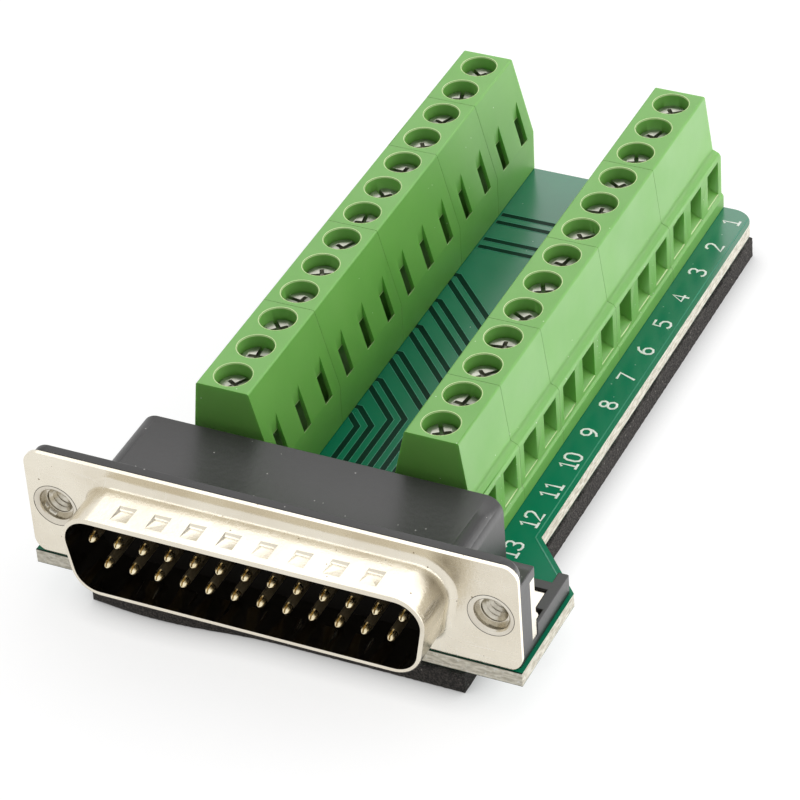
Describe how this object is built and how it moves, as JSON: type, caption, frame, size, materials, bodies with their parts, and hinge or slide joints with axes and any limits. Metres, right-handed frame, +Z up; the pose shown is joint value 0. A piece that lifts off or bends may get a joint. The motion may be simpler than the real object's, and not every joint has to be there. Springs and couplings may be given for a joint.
{
  "type": "d_sub_terminal_block_adapter",
  "caption": "Male D-sub connector on a T-shaped circuit board with two rows of green rising-clamp screw terminals and a foam pad underneath",
  "frame": {"origin": "Centre of the bounding box of the whole adapter in X and Y, on the underside of the foam pad", "axes": "+X to the right seen from the connector, along the flange; +Y from the connector mouth to the far end of the board; +Z up from the pad to the screw openings"},
  "size_m": [0.053, 0.0848, 0.0191],
  "materials": {
    "solder_mask_green": "satin",
    "foam_dark": "matte",
    "tinned_steel": "satin",
    "black_thermoplastic": "matte",
    "gold_plated_brass": "polished",
    "zinc_plated_bracket": "satin",
    "green_polyamide": "satin",
    "tinned_brass": "satin",
    "zinc_plated_clamp": "satin",
    "zinc_plated_screw": "satin"
  },
  "bodies": {
    "adapter": {"circuit_board": "solder_mask_green", "foam_pad": "foam_dark", "connector_shell": "tinned_steel", "connector_body": "black_thermoplastic", "connector_contacts": "gold_plated_brass", "jack_brackets": "zinc_plated_bracket", "terminal_housings": "green_polyamide", "terminal_strips": "tinned_brass"},
    "clamp_left_01_body": {"clamp_left_01": "zinc_plated_clamp"},
    "screw_left_01_body": {"screw_left_01": "zinc_plated_screw"},
    "clamp_left_02_body": {"clamp_left_02": "zinc_plated_clamp"},
    "screw_left_02_body": {"screw_left_02": "zinc_plated_screw"},
    "clamp_left_03_body": {"clamp_left_03": "zinc_plated_clamp"},
    "screw_left_03_body": {"screw_left_03": "zinc_plated_screw"},
    "clamp_left_04_body": {"clamp_left_04": "zinc_plated_clamp"},
    "screw_left_04_body": {"screw_left_04": "zinc_plated_screw"},
    "clamp_left_05_body": {"clamp_left_05": "zinc_plated_clamp"},
    "screw_left_05_body": {"screw_left_05": "zinc_plated_screw"},
    "clamp_left_06_body": {"clamp_left_06": "zinc_plated_clamp"},
    "screw_left_06_body": {"screw_left_06": "zinc_plated_screw"},
    "clamp_left_07_body": {"clamp_left_07": "zinc_plated_clamp"},
    "screw_left_07_body": {"screw_left_07": "zinc_plated_screw"},
    "clamp_left_08_body": {"clamp_left_08": "zinc_plated_clamp"},
    "screw_left_08_body": {"screw_left_08": "zinc_plated_screw"},
    "clamp_left_09_body": {"clamp_left_09": "zinc_plated_clamp"},
    "screw_left_09_body": {"screw_left_09": "zinc_plated_screw"},
    "clamp_left_10_body": {"clamp_left_10": "zinc_plated_clamp"},
    "screw_left_10_body": {"screw_left_10": "zinc_plated_screw"},
    "clamp_left_11_body": {"clamp_left_11": "zinc_plated_clamp"},
    "screw_left_11_body": {"screw_left_11": "zinc_plated_screw"},
    "clamp_left_12_body": {"clamp_left_12": "zinc_plated_clamp"},
    "screw_left_12_body": {"screw_left_12": "zinc_plated_screw"},
    "clamp_left_13_body": {"clamp_left_13": "zinc_plated_clamp"},
    "screw_left_13_body": {"screw_left_13": "zinc_plated_screw"},
    "clamp_right_01_body": {"clamp_right_01": "zinc_plated_clamp"},
    "screw_right_01_body": {"screw_right_01": "zinc_plated_screw"},
    "clamp_right_02_body": {"clamp_right_02": "zinc_plated_clamp"},
    "screw_right_02_body": {"screw_right_02": "zinc_plated_screw"},
    "clamp_right_03_body": {"clamp_right_03": "zinc_plated_clamp"},
    "screw_right_03_body": {"screw_right_03": "zinc_plated_screw"},
    "clamp_right_04_body": {"clamp_right_04": "zinc_plated_clamp"},
    "screw_right_04_body": {"screw_right_04": "zinc_plated_screw"},
    "clamp_right_05_body": {"clamp_right_05": "zinc_plated_clamp"},
    "screw_right_05_body": {"screw_right_05": "zinc_plated_screw"},
    "clamp_right_06_body": {"clamp_right_06": "zinc_plated_clamp"},
    "screw_right_06_body": {"screw_right_06": "zinc_plated_screw"},
    "clamp_right_07_body": {"clamp_right_07": "zinc_plated_clamp"},
    "screw_right_07_body": {"screw_right_07": "zinc_plated_screw"},
    "clamp_right_08_body": {"clamp_right_08": "zinc_plated_clamp"},
    "screw_right_08_body": {"screw_right_08": "zinc_plated_screw"},
    "clamp_right_09_body": {"clamp_right_09": "zinc_plated_clamp"},
    "screw_right_09_body": {"screw_right_09": "zinc_plated_screw"},
    "clamp_right_10_body": {"clamp_right_10": "zinc_plated_clamp"},
    "screw_right_10_body": {"screw_right_10": "zinc_plated_screw"},
    "clamp_right_11_body": {"clamp_right_11": "zinc_plated_clamp"},
    "screw_right_11_body": {"screw_right_11": "zinc_plated_screw"},
    "clamp_right_12_body": {"clamp_right_12": "zinc_plated_clamp"},
    "screw_right_12_body": {"screw_right_12": "zinc_plated_screw"},
    "clamp_right_13_body": {"clamp_right_13": "zinc_plated_clamp"},
    "screw_right_13_body": {"screw_right_13": "zinc_plated_screw"}
  },
  "joints": [
    {"name": "turn_left_01", "type": "hinge", "parent": "adapter", "child": "screw_left_01_body", "pos_m": [-0.01136, 0.03995, 0.0171], "axis": [0, 0, -1], "range_deg": [0, 2400]},
    {"name": "rise_left_01", "type": "slide", "parent": "adapter", "child": "clamp_left_01_body", "axis": [0, 0, 1], "range_m": [0, 0.003]},
    {"name": "turn_left_02", "type": "hinge", "parent": "adapter", "child": "screw_left_02_body", "pos_m": [-0.01136, 0.03495, 0.0171], "axis": [0, 0, -1], "range_deg": [0, 2400]},
    {"name": "rise_left_02", "type": "slide", "parent": "adapter", "child": "clamp_left_02_body", "axis": [0, 0, 1], "range_m": [0, 0.003]},
    {"name": "turn_left_03", "type": "hinge", "parent": "adapter", "child": "screw_left_03_body", "pos_m": [-0.01136, 0.02995, 0.0171], "axis": [0, 0, -1], "range_deg": [0, 2400]},
    {"name": "rise_left_03", "type": "slide", "parent": "adapter", "child": "clamp_left_03_body", "axis": [0, 0, 1], "range_m": [0, 0.003]},
    {"name": "turn_left_04", "type": "hinge", "parent": "adapter", "child": "screw_left_04_body", "pos_m": [-0.01136, 0.02495, 0.0171], "axis": [0, 0, -1], "range_deg": [0, 2400]},
    {"name": "rise_left_04", "type": "slide", "parent": "adapter", "child": "clamp_left_04_body", "axis": [0, 0, 1], "range_m": [0, 0.003]},
    {"name": "turn_left_05", "type": "hinge", "parent": "adapter", "child": "screw_left_05_body", "pos_m": [-0.01136, 0.01995, 0.0171], "axis": [0, 0, -1], "range_deg": [0, 2400]},
    {"name": "rise_left_05", "type": "slide", "parent": "adapter", "child": "clamp_left_05_body", "axis": [0, 0, 1], "range_m": [0, 0.003]},
    {"name": "turn_left_06", "type": "hinge", "parent": "adapter", "child": "screw_left_06_body", "pos_m": [-0.01136, 0.01495, 0.0171], "axis": [0, 0, -1], "range_deg": [0, 2400]},
    {"name": "rise_left_06", "type": "slide", "parent": "adapter", "child": "clamp_left_06_body", "axis": [0, 0, 1], "range_m": [0, 0.003]},
    {"name": "turn_left_07", "type": "hinge", "parent": "adapter", "child": "screw_left_07_body", "pos_m": [-0.01136, 0.00995, 0.0171], "axis": [0, 0, -1], "range_deg": [0, 2400]},
    {"name": "rise_left_07", "type": "slide", "parent": "adapter", "child": "clamp_left_07_body", "axis": [0, 0, 1], "range_m": [0, 0.003]},
    {"name": "turn_left_08", "type": "hinge", "parent": "adapter", "child": "screw_left_08_body", "pos_m": [-0.01136, 0.00495, 0.0171], "axis": [0, 0, -1], "range_deg": [0, 2400]},
    {"name": "rise_left_08", "type": "slide", "parent": "adapter", "child": "clamp_left_08_body", "axis": [0, 0, 1], "range_m": [0, 0.003]},
    {"name": "turn_left_09", "type": "hinge", "parent": "adapter", "child": "screw_left_09_body", "pos_m": [-0.01136, -0.00005, 0.0171], "axis": [0, 0, -1], "range_deg": [0, 2400]},
    {"name": "rise_left_09", "type": "slide", "parent": "adapter", "child": "clamp_left_09_body", "axis": [0, 0, 1], "range_m": [0, 0.003]},
    {"name": "turn_left_10", "type": "hinge", "parent": "adapter", "child": "screw_left_10_body", "pos_m": [-0.01136, -0.00505, 0.0171], "axis": [0, 0, -1], "range_deg": [0, 2400]},
    {"name": "rise_left_10", "type": "slide", "parent": "adapter", "child": "clamp_left_10_body", "axis": [0, 0, 1], "range_m": [0, 0.003]},
    {"name": "turn_left_11", "type": "hinge", "parent": "adapter", "child": "screw_left_11_body", "pos_m": [-0.01136, -0.01005, 0.0171], "axis": [0, 0, -1], "range_deg": [0, 2400]},
    {"name": "rise_left_11", "type": "slide", "parent": "adapter", "child": "clamp_left_11_body", "axis": [0, 0, 1], "range_m": [0, 0.003]},
    {"name": "turn_left_12", "type": "hinge", "parent": "adapter", "child": "screw_left_12_body", "pos_m": [-0.01136, -0.01505, 0.0171], "axis": [0, 0, -1], "range_deg": [0, 2400]},
    {"name": "rise_left_12", "type": "slide", "parent": "adapter", "child": "clamp_left_12_body", "axis": [0, 0, 1], "range_m": [0, 0.003]},
    {"name": "turn_left_13", "type": "hinge", "parent": "adapter", "child": "screw_left_13_body", "pos_m": [-0.01136, -0.02005, 0.0171], "axis": [0, 0, -1], "range_deg": [0, 2400]},
    {"name": "rise_left_13", "type": "slide", "parent": "adapter", "child": "clamp_left_13_body", "axis": [0, 0, 1], "range_m": [0, 0.003]},
    {"name": "turn_right_01", "type": "hinge", "parent": "adapter", "child": "screw_right_01_body", "pos_m": [0.01136, 0.03995, 0.0171], "axis": [0, 0, -1], "range_deg": [0, 2400]},
    {"name": "rise_right_01", "type": "slide", "parent": "adapter", "child": "clamp_right_01_body", "axis": [0, 0, 1], "range_m": [0, 0.003]},
    {"name": "turn_right_02", "type": "hinge", "parent": "adapter", "child": "screw_right_02_body", "pos_m": [0.01136, 0.03495, 0.0171], "axis": [0, 0, -1], "range_deg": [0, 2400]},
    {"name": "rise_right_02", "type": "slide", "parent": "adapter", "child": "clamp_right_02_body", "axis": [0, 0, 1], "range_m": [0, 0.003]},
    {"name": "turn_right_03", "type": "hinge", "parent": "adapter", "child": "screw_right_03_body", "pos_m": [0.01136, 0.02995, 0.0171], "axis": [0, 0, -1], "range_deg": [0, 2400]},
    {"name": "rise_right_03", "type": "slide", "parent": "adapter", "child": "clamp_right_03_body", "axis": [0, 0, 1], "range_m": [0, 0.003]},
    {"name": "turn_right_04", "type": "hinge", "parent": "adapter", "child": "screw_right_04_body", "pos_m": [0.01136, 0.02495, 0.0171], "axis": [0, 0, -1], "range_deg": [0, 2400]},
    {"name": "rise_right_04", "type": "slide", "parent": "adapter", "child": "clamp_right_04_body", "axis": [0, 0, 1], "range_m": [0, 0.003]},
    {"name": "turn_right_05", "type": "hinge", "parent": "adapter", "child": "screw_right_05_body", "pos_m": [0.01136, 0.01995, 0.0171], "axis": [0, 0, -1], "range_deg": [0, 2400]},
    {"name": "rise_right_05", "type": "slide", "parent": "adapter", "child": "clamp_right_05_body", "axis": [0, 0, 1], "range_m": [0, 0.003]},
    {"name": "turn_right_06", "type": "hinge", "parent": "adapter", "child": "screw_right_06_body", "pos_m": [0.01136, 0.01495, 0.0171], "axis": [0, 0, -1], "range_deg": [0, 2400]},
    {"name": "rise_right_06", "type": "slide", "parent": "adapter", "child": "clamp_right_06_body", "axis": [0, 0, 1], "range_m": [0, 0.003]},
    {"name": "turn_right_07", "type": "hinge", "parent": "adapter", "child": "screw_right_07_body", "pos_m": [0.01136, 0.00995, 0.0171], "axis": [0, 0, -1], "range_deg": [0, 2400]},
    {"name": "rise_right_07", "type": "slide", "parent": "adapter", "child": "clamp_right_07_body", "axis": [0, 0, 1], "range_m": [0, 0.003]},
    {"name": "turn_right_08", "type": "hinge", "parent": "adapter", "child": "screw_right_08_body", "pos_m": [0.01136, 0.00495, 0.0171], "axis": [0, 0, -1], "range_deg": [0, 2400]},
    {"name": "rise_right_08", "type": "slide", "parent": "adapter", "child": "clamp_right_08_body", "axis": [0, 0, 1], "range_m": [0, 0.003]},
    {"name": "turn_right_09", "type": "hinge", "parent": "adapter", "child": "screw_right_09_body", "pos_m": [0.01136, -0.00005, 0.0171], "axis": [0, 0, -1], "range_deg": [0, 2400]},
    {"name": "rise_right_09", "type": "slide", "parent": "adapter", "child": "clamp_right_09_body", "axis": [0, 0, 1], "range_m": [0, 0.003]},
    {"name": "turn_right_10", "type": "hinge", "parent": "adapter", "child": "screw_right_10_body", "pos_m": [0.01136, -0.00505, 0.0171], "axis": [0, 0, -1], "range_deg": [0, 2400]},
    {"name": "rise_right_10", "type": "slide", "parent": "adapter", "child": "clamp_right_10_body", "axis": [0, 0, 1], "range_m": [0, 0.003]},
    {"name": "turn_right_11", "type": "hinge", "parent": "adapter", "child": "screw_right_11_body", "pos_m": [0.01136, -0.01005, 0.0171], "axis": [0, 0, -1], "range_deg": [0, 2400]},
    {"name": "rise_right_11", "type": "slide", "parent": "adapter", "child": "clamp_right_11_body", "axis": [0, 0, 1], "range_m": [0, 0.003]},
    {"name": "turn_right_12", "type": "hinge", "parent": "adapter", "child": "screw_right_12_body", "pos_m": [0.01136, -0.01505, 0.0171], "axis": [0, 0, -1], "range_deg": [0, 2400]},
    {"name": "rise_right_12", "type": "slide", "parent": "adapter", "child": "clamp_right_12_body", "axis": [0, 0, 1], "range_m": [0, 0.003]},
    {"name": "turn_right_13", "type": "hinge", "parent": "adapter", "child": "screw_right_13_body", "pos_m": [0.01136, -0.02005, 0.0171], "axis": [0, 0, -1], "range_deg": [0, 2400]},
    {"name": "rise_right_13", "type": "slide", "parent": "adapter", "child": "clamp_right_13_body", "axis": [0, 0, 1], "range_m": [0, 0.003]}
  ],
  "couplings": [
    {"joint": "turn_left_01", "follows": "rise_left_01", "rad_per_m": 13963},
    {"joint": "turn_left_02", "follows": "rise_left_02", "rad_per_m": 13963},
    {"joint": "turn_left_03", "follows": "rise_left_03", "rad_per_m": 13963},
    {"joint": "turn_left_04", "follows": "rise_left_04", "rad_per_m": 13963},
    {"joint": "turn_left_05", "follows": "rise_left_05", "rad_per_m": 13963},
    {"joint": "turn_left_06", "follows": "rise_left_06", "rad_per_m": 13963},
    {"joint": "turn_left_07", "follows": "rise_left_07", "rad_per_m": 13963},
    {"joint": "turn_left_08", "follows": "rise_left_08", "rad_per_m": 13963},
    {"joint": "turn_left_09", "follows": "rise_left_09", "rad_per_m": 13963},
    {"joint": "turn_left_10", "follows": "rise_left_10", "rad_per_m": 13963},
    {"joint": "turn_left_11", "follows": "rise_left_11", "rad_per_m": 13963},
    {"joint": "turn_left_12", "follows": "rise_left_12", "rad_per_m": 13963},
    {"joint": "turn_left_13", "follows": "rise_left_13", "rad_per_m": 13963},
    {"joint": "turn_right_01", "follows": "rise_right_01", "rad_per_m": 13963},
    {"joint": "turn_right_02", "follows": "rise_right_02", "rad_per_m": 13963},
    {"joint": "turn_right_03", "follows": "rise_right_03", "rad_per_m": 13963},
    {"joint": "turn_right_04", "follows": "rise_right_04", "rad_per_m": 13963},
    {"joint": "turn_right_05", "follows": "rise_right_05", "rad_per_m": 13963},
    {"joint": "turn_right_06", "follows": "rise_right_06", "rad_per_m": 13963},
    {"joint": "turn_right_07", "follows": "rise_right_07", "rad_per_m": 13963},
    {"joint": "turn_right_08", "follows": "rise_right_08", "rad_per_m": 13963},
    {"joint": "turn_right_09", "follows": "rise_right_09", "rad_per_m": 13963},
    {"joint": "turn_right_10", "follows": "rise_right_10", "rad_per_m": 13963},
    {"joint": "turn_right_11", "follows": "rise_right_11", "rad_per_m": 13963},
    {"joint": "turn_right_12", "follows": "rise_right_12", "rad_per_m": 13963},
    {"joint": "turn_right_13", "follows": "rise_right_13", "rad_per_m": 13963}
  ]
}
